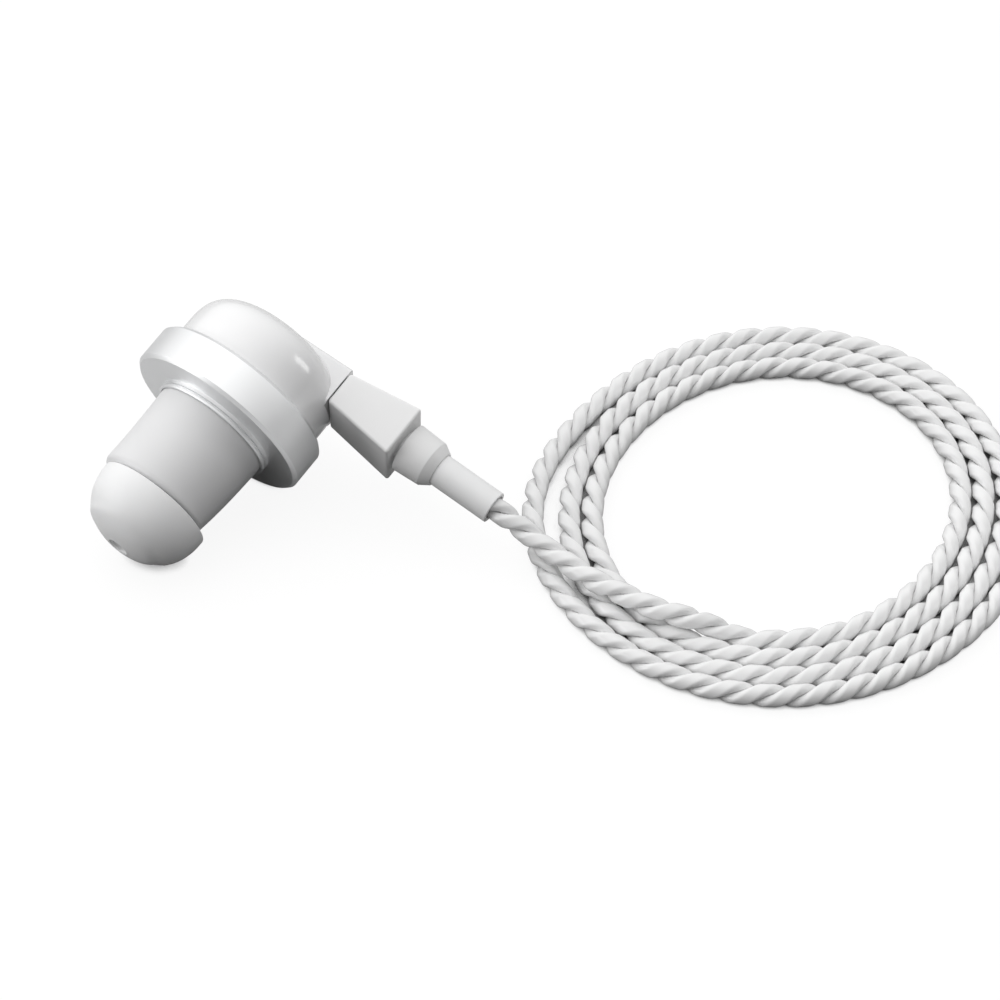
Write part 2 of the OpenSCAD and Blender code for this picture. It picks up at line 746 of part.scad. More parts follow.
// The main lead curves over the top of its coil and ends in the jack's strain relief
main_lead_path = concat(out_of_splitter(),
    [[-11.9, 15, 1.7], [-10.2, 17.5, 1.15], [-6.8, 19.4, 1.15], [-2.4, 20, 1.15],
     [2.2, 19.6, 1.15], [6, 18.7, 1.15]],
    [before(main_coil_path, square_run), first(main_coil_path)]);
main_tail_path = concat([last_of(main_coil_path), beyond(main_coil_path, square_run)],
    [[19.8, 18.3, 3.3]],
    [[jack_x - square_run, jack_y, jack_z], [jack_x, jack_y, jack_z]]);

// ---------- Splitter and jack plug ----------

module splitter() {
    r = splitter_d / 2;
    e = splitter_end_r;
    color(plastic_white) translate([splitter_x, splitter_y, splitter_z]) rotate([-90, 0, 0])
        rotate_extrude() polygon(concat(
            [[0, 0]],
            [for (i = [0:4]) let (a = 90 * i / 4) [r - e + e * sin(a), e - e * cos(a)]],
            [for (i = [0:4]) let (a = 90 * i / 4)
                [r - e + e * cos(a), splitter_length - e + e * sin(a)]],
            [[0, splitter_length]]));
}

module on_jack(x) {
    translate([jack_x + x, jack_y, jack_z]) rotate([0, 90, 0]) children();
}

module jack_relief() {
    color(silicone_white) on_jack(0)
        cylinder(h = relief_length, d1 = relief_end_d, d2 = relief_d);
}

module jack_handle() {
    r = jack_handle_d / 2;
    chamfer = 0.4;
    color("silver") on_jack(relief_length) rotate_extrude() polygon([
        [0, 0], [r - chamfer, 0], [r, chamfer],
        [r, jack_handle_length - chamfer], [r - chamfer, jack_handle_length],
        [0, jack_handle_length]]);
}

jack_pin_r = jack_pin_d / 2;
jack_base = relief_length + jack_handle_length;
jack_band = 0.5;
jack_tip_length = 3.6;
jack_ring_length = 2.6;
jack_tip_start = jack_base + jack_pin_length - jack_tip_length;
jack_ring_start = jack_tip_start - jack_band - jack_ring_length;
jack_sleeve_length = jack_ring_start - jack_band - jack_base;
jack_core_r = 0.8;

module jack_sleeve() {
    color("gold") on_jack(jack_base) difference() {
        cylinder(h = jack_sleeve_length, r = jack_pin_r);
        translate([0, 0, -1]) cylinder(h = jack_sleeve_length + 2, r = jack_core_r + 0.4);
    }
}

module jack_ring() {
    color("gold") on_jack(jack_ring_start) difference() {
        cylinder(h = jack_ring_length, r = jack_pin_r);
        translate([0, 0, -1]) cylinder(h = jack_ring_length + 2, r = jack_core_r + 0.4);
    }
}

module jack_tip() {
    neck = jack_tip_start - jack_base;
    r = jack_pin_r;
    color("gold") on_jack(jack_base) rotate_extrude() polygon([
        [0, 0], [jack_core_r, 0], [jack_core_r, neck], [r, neck],
        [r, neck + 0.5], [r - 0.45, neck + 1.3], [r - 0.1, neck + 2],
        [r - 0.5, neck + 2.9], [0.4, neck + jack_tip_length], [0, neck + jack_tip_length]]);
}

module jack_insulators() {
    length = jack_tip_start - jack_base;
    color("dimgray") on_jack(jack_base) difference() {
        union() {
            cylinder(h = length, r = jack_core_r + 0.38);
            for (z = [jack_sleeve_length, length - jack_band]) translate([0, 0, z])
                cylinder(h = jack_band, r = jack_pin_r);
        }
        translate([0, 0, -1]) cylinder(h = length + 2, r = jack_core_r + 0.02);
    }
}

// ---------- The whole set ----------

for (side = SIDES) {
    on_ear(side) back_shell();
    on_ear(side) socket_insert();
    on_ear(side) socket_contacts();
    on_ear(side) ring();
    on_ear(side) front_barrel();
    on_ear(side) nozzle_mesh();
    on_ear(side) driver_basket();
    on_ear(side) diaphragm();
    on_ear(side) voice_coil();
    on_ear(side) magnet();
    on_ear(side) magnet_yoke();
    on_ear(side) terminal_board();
    on_ear(side) driver_wires();
    on_ear(side) ear_tip();
    on_ear(side) plug_body();
    on_ear(side) plug_pins();
    on_ear(side) plug_collar();
    on_ear(side) plug_sleeve();
}
cord(left_lead_path, ear_cord_d);  // left_ear_lead
color(cord_grey) swept_tube(left_coil_path, ear_cord_d, 6);  // left_lead_coil
cord(left_tail_path, ear_cord_d);  // left_lead_tail
cord(right_lead_path, ear_cord_d);  // right_ear_lead
color(cord_grey) swept_tube(right_coil_path, ear_cord_d, 6);  // right_lead_coil
cord(right_tail_path, ear_cord_d);  // right_lead_tail
splitter();
cord(main_lead_path, main_cord_d);  // main_lead
color(cord_grey) swept_tube(main_coil_path, main_cord_d, 6);  // main_coil
cord(main_tail_path, main_cord_d);  // main_tail
jack_relief();
jack_handle();
jack_sleeve();
jack_ring();
jack_tip();
jack_insulators();
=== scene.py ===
"""The looks of a pair of wired in-ear earphones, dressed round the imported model.

Lengths are written in millimetres and scaled by MM where they meet Blender's metres.
Each earpiece is made in its own frame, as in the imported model: +Z leaves through the nozzle,
Z = 0 is the front face of the metal ring, and +X runs out along the lead's plug.
"""
import math

import bmesh
import bpy
import numpy as np
from mathutils import Matrix, Vector


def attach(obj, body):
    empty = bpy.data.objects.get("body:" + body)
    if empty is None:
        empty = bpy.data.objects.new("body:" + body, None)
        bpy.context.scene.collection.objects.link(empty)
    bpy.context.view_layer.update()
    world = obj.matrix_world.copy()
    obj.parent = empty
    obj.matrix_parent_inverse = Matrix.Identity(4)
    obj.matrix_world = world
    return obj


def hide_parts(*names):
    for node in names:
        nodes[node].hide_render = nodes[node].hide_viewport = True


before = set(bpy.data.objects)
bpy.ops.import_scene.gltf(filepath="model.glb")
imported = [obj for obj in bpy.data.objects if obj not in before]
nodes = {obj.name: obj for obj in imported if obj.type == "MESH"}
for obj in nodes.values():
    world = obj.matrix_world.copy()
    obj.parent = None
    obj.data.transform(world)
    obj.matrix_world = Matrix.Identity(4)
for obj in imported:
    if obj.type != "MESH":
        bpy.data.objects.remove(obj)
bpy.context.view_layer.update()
MM = 0.001
SIDES = ("left", "right")


# ---------- Camera ----------

VIEW_TARGET = Vector((-62, -0.8, 0)) * MM
VIEW_DISTANCE = 300 * MM
VIEW_ELEVATION = math.radians(46)
VIEW_LENS = 120
VIEW_SENSOR = 36


def make_camera():
    data = bpy.data.cameras.new("camera")
    data.lens = VIEW_LENS
    data.sensor_width = VIEW_SENSOR
    data.clip_start = 0.01
    data.clip_end = 20
    camera = bpy.data.objects.new("camera", data)
    back = Vector((0, -math.cos(VIEW_ELEVATION), math.sin(VIEW_ELEVATION)))
    camera.location = VIEW_TARGET + VIEW_DISTANCE * back
    camera.rotation_euler = (math.pi / 2 - VIEW_ELEVATION, 0, 0)
    bpy.context.scene.collection.objects.link(camera)
    bpy.context.scene.camera = camera


make_camera()
bpy.context.scene.view_settings.view_transform = "Standard"


# ---------- The earpiece's own frame ----------

RING_R = 8.85
RING_CHAMFER = 0.25
NOSE_DOWN = math.radians(17.7)
EAR_HEADING = math.radians(38.6)
EAR_ROLL = math.radians(15.3)
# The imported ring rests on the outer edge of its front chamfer
EAR_HEIGHT = RING_R * math.cos(NOSE_DOWN) - RING_CHAMFER * math.sin(NOSE_DOWN)
EAR_PLACE = Vector((-87.12, 0.52, EAR_HEIGHT))
PLUG_BACK = 8.4


def ear_matrix(side):
    """The place of an earpiece's own frame, in millimetres.

    The right one is drawn with Y turned over.
    """
    left = (Matrix.Translation(EAR_PLACE) @ Matrix.Rotation(-EAR_HEADING, 4, "Z")
            @ Matrix.Rotation(math.pi / 2 + NOSE_DOWN, 4, "X") @ Matrix.Rotation(-EAR_ROLL, 4, "Z"))
    if side == "left":
        return left
    return Matrix.Scale(-1, 4, (1, 0, 0)) @ left @ Matrix.Scale(-1, 4, (0, 1, 0))


def ear_point(x, y, z):
    """A point of the left earpiece's own frame, in the set's frame."""
    return np.array(ear_matrix("left") @ Vector((x, y, z)))


# The pieces along the plug, measured from the earpiece's axis
BOSS_REACH = 7.25
PLUG_FRONT = BOSS_REACH + 0.1
PLUG_REAR = PLUG_FRONT + 7.05
COLLAR_LENGTH = 3.15
COLLAR_BEVEL = 0.9
COLLAR_END = PLUG_REAR + COLLAR_LENGTH + COLLAR_BEVEL
SLEEVE_START = COLLAR_END - 1.5
SLEEVE_END = COLLAR_END + 5.95


# ---------- Cord routes ----------

COIL_STEPS = 24
EAR_CORD_R = 0.99
EAR_CORD_Z = 1.0
MAIN_CORD_R = 1.15
MAIN_CORD_Z = 1.15
MAIN_PITCH = 2.4
SPLITTER = Vector((-12.5, -1, 2.3))
SPLITTER_LENGTH = 12
JACK = Vector((24, 19.2, 3))


def left_coil():
    """The turns of the left coil: an oval spiral whose outermost turn stands off at the left."""
    x, y = -36.7, -2.15
    turns, start, r_in, pitch = 3.2, 265, 15.9, 2.07
    oval_heading = math.radians(61)
    bulge, bulge_turn, bulge_width = 1.2, 2.77, 0.08
    t = np.linspace(0, turns, round(turns * COIL_STEPS) + 1)
    a = np.radians(start + 360 * t)
    r = r_in + pitch * t + np.cos(2 * (a - oval_heading))
    r += bulge * np.exp(-((t - bulge_turn) / bulge_width) ** 2)
    return np.column_stack((x + r * np.cos(a), y + r * np.sin(a), np.full(len(t), EAR_CORD_Z)))


def two_layer_coil(x, y, z_start, z_end, start, turns, r_in, pitch):
    """A clockwise coil that spirals in, climbs in the half turn at its middle and spirals out."""
    t = np.linspace(0, turns, round(turns * COIL_STEPS) + 1)
    a = np.radians(start - 360 * t)
    r = r_in + pitch * np.abs(t - turns / 2)
    s = np.clip((t - turns / 2) * 2 + 0.5, 0, 1)
    z = z_start + (z_end - z_start) * s * s * (3 - 2 * s)
    return np.column_stack((x + r * np.cos(a), y + r * np.sin(a), z))


sleeve_stations = (SLEEVE_START, SLEEVE_START + 3, SLEEVE_END, SLEEVE_END + 1)
sleeve_run = np.array([ear_point(x, 0, -PLUG_BACK) for x in sleeve_stations])

left_route = np.vstack((
    sleeve_run,
    [(-60, -7.95, 3.75), (-58.8, -9, 3.38), (-57.4, -10.2, 3.1),
     (-55.7, -11.7, 2.95), (-53.6, -13.5, 2.95), (-51.3, -15, 2.95), (-49.2, -16.3, 2.95),
     (-47.1, -17.2, 2.9), (-44.9, -17.6, 2.4), (-42.7, -18, 1.5), (-40.4, -18.6, 1.03)],
    left_coil(),
    [(-15.6, -7.6, 1.05), (-14.5, -5.4, 1.4), (-13.7, -2.4, 2.2), (-13.6, -1, 2.3), (-13.6, 0.5, 2.3)]))

right_route = np.vstack((
    sleeve_run * (-1, 1, 1),
    [(57.5, -9.3, 3.6), (53.5, -11.1, 3.2), (50.2, -11.95, 3.05)],
    two_layer_coil(47, 1.3, z_start=3.05, z_end=EAR_CORD_Z, start=270, turns=5, r_in=8.2, pitch=2.05),
    [(43.5, -12.3, 1), (40, -13.1, 1), (36.5, -14.6, 1), (32, -17.5, 1), (27.5, -20.5, 1),
     (22.5, -22.5, 1), (17, -23.5, 1), (11.5, -23.8, 1), (6, -23.3, 1), (1, -21.8, 1), (-3.5, -19.3, 1),
     (-7.2, -15.8, 1), (-9.7, -11.5, 1), (-11, -7.5, 1), (-11.4, -4.6, 1.7), (-11.4, -2.4, 2.2),
     (-11.4, -1, 2.3), (-11.4, 0.5, 2.3)]))

main_route = np.vstack((
    [(-12.5, 9.5, 2.3), (-12.5, 11, 2.3), (-12.4, 12.6, 2.1), (-11.9, 15, 1.6), (-10.2, 17.5, 1.15),
     (-6.8, 19.4, 1.15), (-2.4, 20, 1.15), (2.2, 19.6, 1.15), (6, 18.7, 1.15), (9.6, 17.9, 1.15)],
    two_layer_coil(11.5, -1, z_start=MAIN_CORD_Z, z_end=MAIN_CORD_Z + MAIN_PITCH, start=85, turns=8,
                   r_in=8.9, pitch=MAIN_PITCH),
    [(16.4, 17.4, 3.5), (19.8, 18.3, 3.3), (22.2, 19, 3.05), (24, 19.2, 3), (25.5, 19.2, 3)]))


SPLINE_SAMPLES = 40


def distances(path):
    """How far each point of a path is from its start, along the path."""
    return np.concatenate(([0], np.cumsum(np.linalg.norm(np.diff(path, axis=0), axis=1))))


def spline(points, spacing):
    """Points at an even spacing on the natural cubic spline through the given ones."""
    knots = distances(points)
    h = np.diff(knots)
    n = len(points)
    system = np.eye(n)
    target = np.zeros((n, 3))
    for i in range(1, n - 1):
        system[i, i - 1:i + 2] = h[i - 1], 2 * (h[i - 1] + h[i]), h[i]
        target[i] = 6 * ((points[i + 1] - points[i]) / h[i] - (points[i] - points[i - 1]) / h[i - 1])
    bend = np.linalg.solve(system, target)

    def at(s):
        k = np.clip(np.searchsorted(knots, s) - 1, 0, n - 2)
        a = ((knots[k + 1] - s) / h[k])[:, None]
        b = 1 - a
        wide = (h[k] ** 2)[:, None] / 6
        curve = (a ** 3 - a) * bend[k] + (b ** 3 - b) * bend[k + 1]
        return a * points[k] + b * points[k + 1] + wide * curve

    fine = at(np.linspace(0, knots[-1], SPLINE_SAMPLES * n))
    run = distances(fine)
    wanted = np.linspace(0, run[-1], max(2, round(run[-1] / spacing)))
    return np.column_stack([np.interp(wanted, run, fine[:, i]) for i in range(3)])


def carried_frames(path):
    """The direction of a path and two directions across it, turned as little as possible along it."""
    heading = np.gradient(path, axis=0)
    heading /= np.linalg.norm(heading, axis=1)[:, None]
    across = np.empty_like(path)
    across[0] = np.cross((0, 0, 1), heading[0])
    for i in range(1, len(path)):
        across[i] = across[i - 1] - heading[i] * (across[i - 1] @ heading[i])
        across[i] /= np.linalg.norm(across[i])
    across[0] /= np.linalg.norm(across[0])
    return heading, across, np.cross(heading, across)


# ---------- Meshes ----------

def make_object(name, verts, faces, smooth_angle=None, face_materials=None, scale=MM):
    """A mesh object from points in millimetres."""
    mesh = bpy.data.meshes.new(name)
    mesh.from_pydata((np.asarray(verts, float) * scale).tolist(), [], faces)
    mesh.update()
    mesh.polygons.foreach_set("use_smooth", [True] * len(mesh.polygons))
    if smooth_angle is not None:
        mesh.set_sharp_from_angle(angle=math.radians(smooth_angle))
    if face_materials is not None:
        mesh.polygons.foreach_set("material_index", face_materials)
    obj = bpy.data.objects.new(name, mesh)
    bpy.context.scene.collection.objects.link(obj)
    return obj


def fillet(points, steps=5):
    """An outline with its corners rounded: each point is (r, z) or (r, z, radius)."""
    flat = [np.array(p[:2], float) for p in points]
    out = []
    for i, p in enumerate(points):
        here, before, after = flat[i], flat[i - 1], flat[(i + 1) % len(flat)]
        if len(p) < 3:
            out.append(tuple(here))
            continue
        u = (before - here) / np.linalg.norm(before - here)
        v = (after - here) / np.linalg.norm(after - here)
        half = math.acos(float(np.clip(u @ v, -1, 1))) / 2
        reach = p[2] / math.tan(half)
        centre = here + (u + v) / np.linalg.norm(u + v) * p[2] / math.sin(half)
        start, end = here + u * reach - centre, here + v * reach - centre
        a0, a1 = math.atan2(start[1], start[0]), math.atan2(end[1], end[0])
        turn = (a1 - a0 + math.pi) % (2 * math.pi) - math.pi
        for k in range(steps + 1):
            a = a0 + turn * k / steps
            out.append((centre[0] + p[2] * math.cos(a), centre[1] + p[2] * math.sin(a)))
    return out


def revolve(outline, segments=144):
    """A closed outline of (r, z) points turned round the Z axis."""
    verts, faces, rings = [], [], []
    for r, z in outline:
        if r < 1e-6:
            rings.append([len(verts)] * segments)
            verts.append((0, 0, z))
            continue
        rings.append(list(range(len(verts), len(verts) + segments)))
        for k in range(segments):
            a = 2 * math.pi * k / segments
            verts.append((r * math.cos(a), r * math.sin(a), z))
    for low, high in zip(rings, rings[1:] + rings[:1]):
        for k in range(segments):
            n = (k + 1) % segments
            corners = [low[k], low[n], high[n], high[k]]
            face = [c for i, c in enumerate(corners) if c != corners[i - 1]]
            if len(face) > 2:
                faces.append(face)
    return verts, faces


def turned_outward(verts, faces):
    """The same faces, wound so that they look outwards."""
    v = np.asarray(verts, float)
    volume = 0
    for f in faces:
        for i in range(1, len(f) - 1):
            volume += np.dot(v[f[0]], np.cross(v[f[i]], v[f[i + 1]]))
    return faces if volume > 0 else [f[::-1] for f in faces]


# ---------- Twisted cords ----------

STRAND_GAP = 0.02


def strand_section(radius, strands, corner, points):
    """One strand's section: a sector of the cord's round section with rounded corners."""
    half = math.pi / strands
    inset = STRAND_GAP / 2 + corner
    core = radius - corner
    tip = inset / math.sin(half)
    limit = half - math.asin(inset / core)
    corners = [core * np.array((math.cos(limit), math.sin(limit)))]
    corners.append(corners[0] * (1, -1))
    corners.append(np.array((tip, 0.0)))
    out = []
    for k in range(points):
        a = -math.pi + 2 * math.pi * (k + 0.5) / points
        way = np.array((math.cos(a), math.sin(a)))
        if abs(a) < limit:
            base = core * way
        else:
            base = max(corners, key=lambda c: c @ way)
        out.append(base + corner * way)
    return np.array(out)


def twisted_cord(name, route, radius, strands, lay, corner, per_lay, points, phase=0.0, swell=None):
    """A cord of left-hand twisted strands along a route, as one mesh, and the path it follows.

    The path has per_lay sections in each lay, and each strand's section has the given points.
    """
    path = spline(np.asarray(route, float), lay / per_lay)
    heading, across, up = carried_frames(path)
    run = distances(path)
    turn = phase - 2 * math.pi * run / lay
    base = strand_section(radius, strands, corner, points)
    size, spread = (np.ones(len(run)), np.zeros(len(run))) if swell is None else swell(run)
    verts, faces = [], []
    for k in range(strands):
        a = turn + 2 * math.pi * k / strands
        first = len(verts) * len(path) * points
        x = base[None, :, 0] * size[:, None] + spread[:, None]
        y = base[None, :, 1] * size[:, None]
        u = x * np.cos(a)[:, None] - y * np.sin(a)[:, None]
        v = x * np.sin(a)[:, None] + y * np.cos(a)[:, None]
        ring = path[:, None, :] + u[:, :, None] * across[:, None, :] + v[:, :, None] * up[:, None, :]
        verts.append(ring.reshape(-1, 3))
        for i in range(len(path) - 1):
            for j in range(points):
                n = (j + 1) % points
                p = first + i * points
                faces.append((p + j, p + n, p + points + n, p + points + j))
        faces.append(tuple(first + j for j in reversed(range(points))))
        faces.append(tuple(first + (len(path) - 1) * points + j for j in range(points)))
    obj = make_object(name, np.vstack(verts), faces, smooth_angle=60)
    return obj, path


def ramp(s, start, end):
    """A value that goes evenly from 0 at the start to 1 at the end."""
    return np.clip((s - start) / (end - start), 0, 1)


SLACK_SWELL = 0.04
SLACK_SPREAD = 0.03


def out_of_sleeve(run):
    """The ear cord's strands are slack for a few millimetres past the sleeve, then draw together."""
    past = run - (SLEEVE_END - SLEEVE_START)
    leaving = ramp(past, -0.8, 0.8)
    opened = leaving * ramp(past, 5, 1.5)
    loose = leaving * ramp(past, 22, 8)
    return 1 + SLACK_SWELL * loose, SLACK_SPREAD * opened * opened * (3 - 2 * opened)


EAR_TWIST = {"radius": EAR_CORD_R, "strands": 2, "lay": 5.5, "corner": 0.45,
             "phase": math.radians(36), "swell": out_of_sleeve}
left_cord, left_path = twisted_cord("left_cord", left_route, per_lay=20, points=20, **EAR_TWIST)
right_cord, right_path = twisted_cord("right_cord", right_route, per_lay=14, points=16, **EAR_TWIST)
main_cord, main_path = twisted_cord(
    "main_cord", main_route, MAIN_CORD_R, strands=4, lay=9.2, corner=0.32, per_lay=16, points=14)


# ---------- Materials ----------

def new_material(name):
    material = bpy.data.materials.new(name)
    material.use_nodes = True
    tree = material.node_tree
    return material, tree, tree.nodes["Principled BSDF"]


def noise(tree, scale, detail, stretch=None):
    """A noise texture in the piece's own coordinates, with its scale in cycles a metre."""
    coords = tree.nodes.new("ShaderNodeTexCoord")
    source = coords.outputs["Object"]
    if stretch is not None:
        mapping = tree.nodes.new("ShaderNodeMapping")
        mapping.inputs["Scale"].default_value = stretch
        tree.links.new(source, mapping.inputs["Vector"])
        source = mapping.outputs["Vector"]
    texture = tree.nodes.new("ShaderNodeTexNoise")
    texture.inputs["Scale"].default_value = scale
    texture.inputs["Detail"].default_value = detail
    tree.links.new(source, texture.inputs["Vector"])
    return texture.outputs["Fac"]


def rescaled(tree, source, from_low, from_high, low=0, high=1):
    """The source's values from from_low to from_high, spread evenly from low to high."""
    node = tree.nodes.new("ShaderNodeMapRange")
    node.inputs["From Min"].default_value = from_low
    node.inputs["From Max"].default_value = from_high
    node.inputs["To Min"].default_value = low
    node.inputs["To Max"].default_value = high
    tree.links.new(source, node.inputs["Value"])
    return node.outputs["Result"]


# Nearly all of a noise texture's values lie between these
NOISE_LOW = 0.3
NOISE_HIGH = 0.7
PATCH_SCALE = 180
PATCH_DETAIL = 2.0
PATCH_TONE = 0.97
GRAIN_DETAIL = 3
COAT_ROUGHNESS = 0.12
SKIN_DEPTH = 1.6
# The places of a colour mix node's sockets, whose names it shares with its other kinds of mix
MIX_FACTOR, MIX_A, MIX_B, MIX_RESULT = 0, 6, 7, 2


def tint(tree, source, colour):
    """The colour, slightly darkened where the source is low."""
    node = tree.nodes.new("ShaderNodeMix")
    node.data_type = "RGBA"
    node.inputs[MIX_A].default_value = (*[c * PATCH_TONE for c in colour], 1)
    node.inputs[MIX_B].default_value = (*colour, 1)
    tree.links.new(source, node.inputs[MIX_FACTOR])
    return node.outputs[MIX_RESULT]


def bump(tree, source, depth):
    """A grain of the given depth, in metres."""
    node = tree.nodes.new("ShaderNodeBump")
    node.inputs["Distance"].default_value = depth
    node.inputs["Strength"].default_value = 1
    tree.links.new(source, node.inputs["Height"])
    return node.outputs["Normal"]


def surface(name, colour, roughness, vary=0.04, grain=4000, depth=0.002, metallic=0.0,
            coat=0.0, coat_ior=1.5, subsurface=0.0, stretch=None):
    """A finish with faint patches of tone and gloss and a fine grain."""
    material, tree, shader = new_material(name)
    patches = noise(tree, PATCH_SCALE, PATCH_DETAIL)
    tone = rescaled(tree, patches, NOISE_LOW, NOISE_HIGH)
    gloss = rescaled(tree, patches, NOISE_LOW, NOISE_HIGH, roughness - vary, roughness + vary)
    tree.links.new(tint(tree, tone, colour), shader.inputs["Base Color"])
    tree.links.new(gloss, shader.inputs["Roughness"])
    fine = noise(tree, grain, GRAIN_DETAIL, stretch)
    tree.links.new(bump(tree, fine, depth * MM), shader.inputs["Normal"])
    shader.inputs["Metallic"].default_value = metallic
    shader.inputs["Coat Weight"].default_value = coat
    shader.inputs["Coat Roughness"].default_value = COAT_ROUGHNESS
    shader.inputs["Coat IOR"].default_value = coat_ior
    if subsurface:
        shader.inputs["Subsurface Weight"].default_value = subsurface
        shader.inputs["Subsurface Radius"].default_value = (1, 0.95, 0.9)
        shader.inputs["Subsurface Scale"].default_value = SKIN_DEPTH * MM
    return material


shell_gloss = surface("shell_gloss", (0.88, 0.88, 0.885), 0.2, vary=0.02, grain=900, depth=0.0015,
                      coat=1.0, coat_ior=1.8)
barrel_plastic = surface("barrel_plastic", (0.78, 0.78, 0.785), 0.42, grain=3500, depth=0.002)
tip_silicone = surface("tip_silicone", (0.96, 0.96, 0.96), 0.45, grain=5000, depth=0.003,
                       subsurface=0.3)
RING_TONE = (0.78, 0.785, 0.79)
ring_satin = surface("ring_satin", RING_TONE, 0.42, metallic=1, grain=5000, depth=0.002)
ring_front = surface("ring_front", RING_TONE, 0.26, metallic=1, grain=5000, depth=0.002)
ring_polished = surface("ring_polished", (0.92, 0.92, 0.925), 0.2, vary=0.02, metallic=1,
                        grain=3000, depth=0.0005)
plug_plastic = surface("plug_plastic", (0.92, 0.92, 0.92), 0.38, grain=4500, depth=0.003)
# A darker copy of the plug's plastic: painted shade for the shadow that the plug casts on the collar
collar_plastic_painted_shade = surface("collar_plastic_painted_shade", (0.85, 0.85, 0.85), 0.38, grain=4500, depth=0.003)
sleeve_plastic = surface("sleeve_plastic", (0.93, 0.93, 0.93), 0.4, grain=3500, depth=0.003,
                         subsurface=0.15)
cord_jacket = surface("cord_jacket", (0.86, 0.86, 0.86), 0.2, grain=2500, depth=0.004)
insert_plastic = surface("insert_plastic", (0.3, 0.3, 0.31), 0.5, grain=5000, depth=0.003)
contact_gold = surface("contact_gold", (0.9, 0.66, 0.32), 0.22, metallic=1, grain=6000, depth=0.001)
mesh_steel = surface("mesh_steel", (0.42, 0.42, 0.44), 0.35, metallic=1, grain=8000, depth=0.002)
driver_steel = surface("driver_steel", (0.5, 0.5, 0.52), 0.4, metallic=1, grain=5000, depth=0.002)
magnet_alloy = surface("magnet_alloy", (0.4, 0.4, 0.42), 0.3, metallic=1, grain=5000, depth=0.002)
diaphragm_film = surface("diaphragm_film", (0.7, 0.76, 0.84), 0.15, grain=2000, depth=0.002)
coil_copper = surface("coil_copper", (0.72, 0.38, 0.2), 0.35, metallic=1, grain=200, depth=0.02,
                      stretch=(1, 1, 60))
board_green = surface("board_green", (0.04, 0.2, 0.1), 0.4, grain=3000, depth=0.004)
wire_enamel = surface("wire_enamel", (0.55, 0.1, 0.07), 0.35, grain=3000, depth=0.002)


# ---------- The earpieces' visible pieces ----------

def dress(obj, materials, body, slot, *replaced):
    """Gives a finished piece its finish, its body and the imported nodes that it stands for."""
    obj.data.materials.clear()
    for material in materials:
        obj.data.materials.append(material)
    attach(obj, body)
    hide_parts(*replaced)
    return obj


def ear_piece(name, side, verts, faces, smooth_angle=32, face_materials=None):
    """A piece drawn in the earpiece's own frame and put in its place."""
    verts = np.asarray(verts, float)
    faces = turned_outward(verts, faces)
    if side == "right":
        verts = verts * (1, -1, 1)
        faces = [f[::-1] for f in faces]
    place = np.array(ear_matrix(side))
    verts = verts @ place[:3, :3].T + place[:3, 3]
    return make_object(name, verts, faces, smooth_angle, face_materials)


def along_plug(verts):
    """Points drawn round +Z, laid along +X level with the pins."""
    v = np.asarray(verts, float)
    return np.column_stack((v[:, 2], v[:, 1], -v[:, 0] - PLUG_BACK))


BARREL_ROOT_R = 5.5
BARREL_END_R = 5.15
BARREL_LENGTH = 9.0
BARREL_LEAN = 0.35
TIP_RIM = 9.1
NOZZLE_R = 2.6
NOZZLE_END = 12.6
# The ring's width up to the shell's seat, and up to its rear edge, which overlaps the shell
RING_WIDTH = 3.5
RING_REAR = 3.8
# The band ends this far in front of the seat, where the rear chamfer starts
RING_BAND_GAP = 0.05
RING_FACE = 1.0
RING_EDGE = 0.3
RING_BORE_R = 7.65
# The barrel's flange lies in the ring, between the ring's inner face and the shell
FLANGE_THICKNESS = 1.2
SLIP = 0.05
# The finishes of the ring's faces, as their places in its list of materials
SATIN, POLISHED, FRONT = 0, 1, 2
# How far a face's middle may lie off its surface, and how far the polish runs past a chamfer
FLAT_WITHIN = 0.02
POLISH_PAST = 0.03


def ring_finish(r, z):
    """The chamfers and the lip are polished, and the front face is smoother than the band."""
    on_rim = r > RING_R - RING_EDGE - POLISH_PAST
    on_front_chamfer = on_rim and z > -RING_EDGE - POLISH_PAST
    on_rear_chamfer = on_rim and z < RING_BAND_GAP + POLISH_PAST - RING_WIDTH
    if z > FLAT_WITHIN or on_front_chamfer or on_rear_chamfer:
        return POLISHED
    return FRONT if r < RING_R - RING_EDGE and abs(z) < FLAT_WITHIN else SATIN


def make_ring(side):
    lip_height, groove_depth, rear_edge, corner = 0.8, 0.12, 0.35, 0.06
    inner = BARREL_ROOT_R + SLIP
    lip_r = inner + 0.25
    rear_seat = RING_BORE_R + 0.1
    outline = fillet([
        (inner, -RING_FACE),
        (inner, lip_height, 0.03),
        (lip_r, lip_height, 0.13),
        (lip_r, 0.54),
        (lip_r - groove_depth, 0.47),
        (lip_r - groove_depth, 0.4),
        (lip_r, 0.33),
        (lip_r, 0, 0.05),
        (RING_R - RING_EDGE, 0, corner),
        (RING_R, -RING_EDGE, corner),
        (RING_R, RING_BAND_GAP - RING_WIDTH, corner),
        (RING_R - rear_edge, -RING_REAR, corner),
        (rear_seat, -RING_REAR),
        (rear_seat, -RING_WIDTH),
        (RING_BORE_R, -RING_WIDTH),
        (RING_BORE_R, -RING_FACE)])
    verts, faces = revolve(outline, 192)
    v = np.asarray(verts)
    finishes = []
    for f in faces:
        x, y, z = v[list(f)].mean(axis=0)
        finishes.append(ring_finish(math.hypot(x, y), z))
    obj = ear_piece(f"{side}_ring_metal", side, verts, faces, 24, finishes)
    dress(obj, [ring_satin, ring_polished, ring_front], f"{side}_earpiece", "ring_aluminium",
          f"{side}_ring")


def barrel_r(z):
    """The barrel's radius, which shrinks slowly at first."""
    return BARREL_ROOT_R - (BARREL_ROOT_R - BARREL_END_R) * (z / BARREL_LENGTH) ** 1.3


